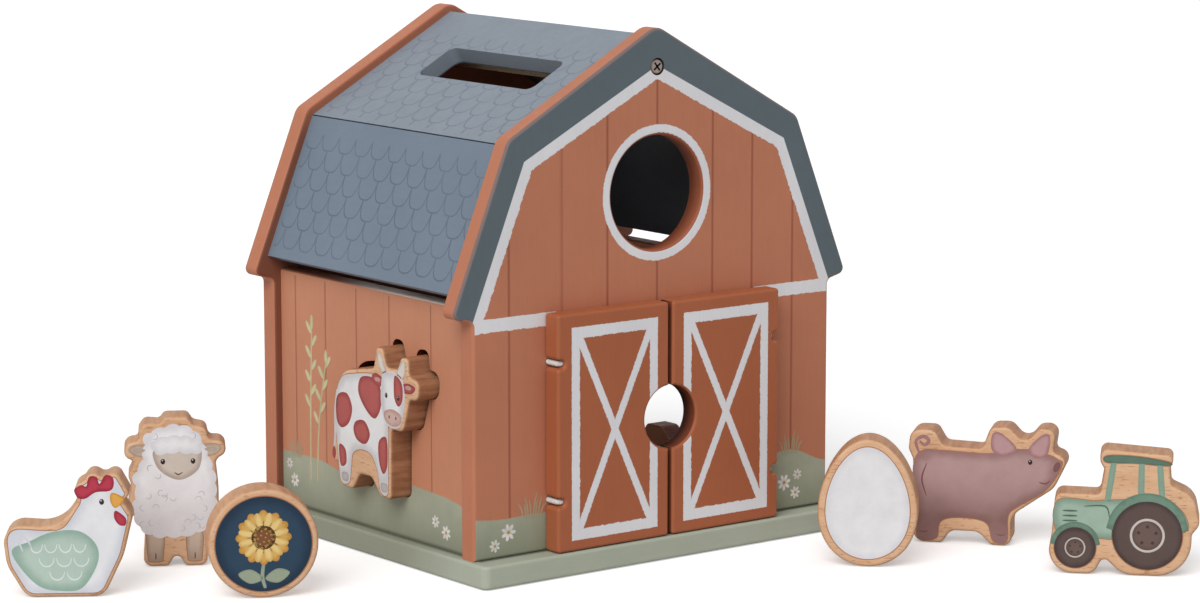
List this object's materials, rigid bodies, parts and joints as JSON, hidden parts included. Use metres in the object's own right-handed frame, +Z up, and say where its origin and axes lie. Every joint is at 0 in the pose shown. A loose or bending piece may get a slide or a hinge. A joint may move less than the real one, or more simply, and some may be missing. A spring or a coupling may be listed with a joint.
{
  "type": "farm shape sorter",
  "caption": "Wooden toy barn that sorts shapes: a gambrel roof with a slot, hinged doors, cut-outs in its walls, and animal, egg, round and tractor blocks to post.",
  "frame": {"origin": "middle of the base board's underside, on the surface that the object stands on", "axes": "+Z up, the doors face -Y, the wall with the cow's cut-out faces -X, and +X is the longest extent with the blocks standing beside the barn"},
  "size_m": [0.3607, 0.2912, 0.193],
  "materials": {
    "orange_paint": "matte paint with printed planks and grass",
    "door_paint": "matte paint with white printed frames",
    "upper_roof_paint": "matte paint with printed shingles",
    "lower_roof_paint": "matte paint with printed shingles",
    "base_paint": "matte paint",
    "bare_wood": "sanded, clear lacquer",
    "printed_wood": "sanded wood with a printed face",
    "elastic": "braided",
    "screw_steel": "plated"
  },
  "bodies": {
    "barn": {"base_board": "base_paint", "base_screws": "screw_steel", "front_gable": "orange_paint", "rear_gable": "orange_paint", "left_wall": "orange_paint", "right_wall": "orange_paint", "roof_upper_left": "upper_roof_paint", "roof_upper_right": "upper_roof_paint", "roof_lower_left": "lower_roof_paint", "roof_lower_right": "lower_roof_paint", "ridge_bar": "bare_wood", "ridge_screw_front": "screw_steel", "ridge_screw_rear": "screw_steel", "wall_dowels": "bare_wood", "roof_dowels": "bare_wood", "hinge_cord_left_lower": "elastic", "hinge_cord_left_upper": "elastic", "hinge_cord_right_lower": "elastic", "hinge_cord_right_upper": "elastic"},
    "door_left": {"door_left": "door_paint"},
    "door_right": {"door_right": "door_paint"},
    "cow": {"cow_block": "printed_wood"},
    "hen": {"hen_block": "printed_wood"},
    "sheep": {"sheep_block": "printed_wood"},
    "round": {"round_block": "printed_wood"},
    "egg": {"egg_block": "printed_wood"},
    "pig": {"pig_block": "printed_wood"},
    "tractor": {"tractor_block": "printed_wood"}
  },
  "joints": [
    {"name": "door_left_hinge", "type": "hinge", "parent": "barn", "child": "door_left", "pos_m": [-0.0511, -0.0683, 0.0518], "axis": [0, 0, -1], "range_deg": [0, 90], "deforming": ["hinge_cord_left_lower", "hinge_cord_left_upper"]},
    {"name": "door_right_hinge", "type": "hinge", "parent": "barn", "child": "door_right", "pos_m": [0.0511, -0.0683, 0.0518], "axis": [0, 0, 1], "range_deg": [0, 62], "deforming": ["hinge_cord_right_lower", "hinge_cord_right_upper"]},
    {"name": "cow_push", "type": "slide", "parent": "barn", "child": "cow", "axis": [-1, 0, 0], "range_m": [-0.02, 0.02]},
    {"name": "hen_lift", "type": "slide", "parent": "barn", "child": "hen", "axis": [0, 0, 1], "range_m": [0, 0.08]},
    {"name": "sheep_lift", "type": "slide", "parent": "barn", "child": "sheep", "axis": [0, 0, 1], "range_m": [0, 0.08]},
    {"name": "round_lift", "type": "slide", "parent": "barn", "child": "round", "axis": [0, 0, 1], "range_m": [0, 0.08]},
    {"name": "egg_lift", "type": "slide", "parent": "barn", "child": "egg", "axis": [0, 0, 1], "range_m": [0, 0.08]},
    {"name": "pig_lift", "type": "slide", "parent": "barn", "child": "pig", "axis": [0, 0, 1], "range_m": [0, 0.08]},
    {"name": "tractor_lift", "type": "slide", "parent": "barn", "child": "tractor", "axis": [0, 0, 1], "range_m": [0, 0.08]}
  ]
}
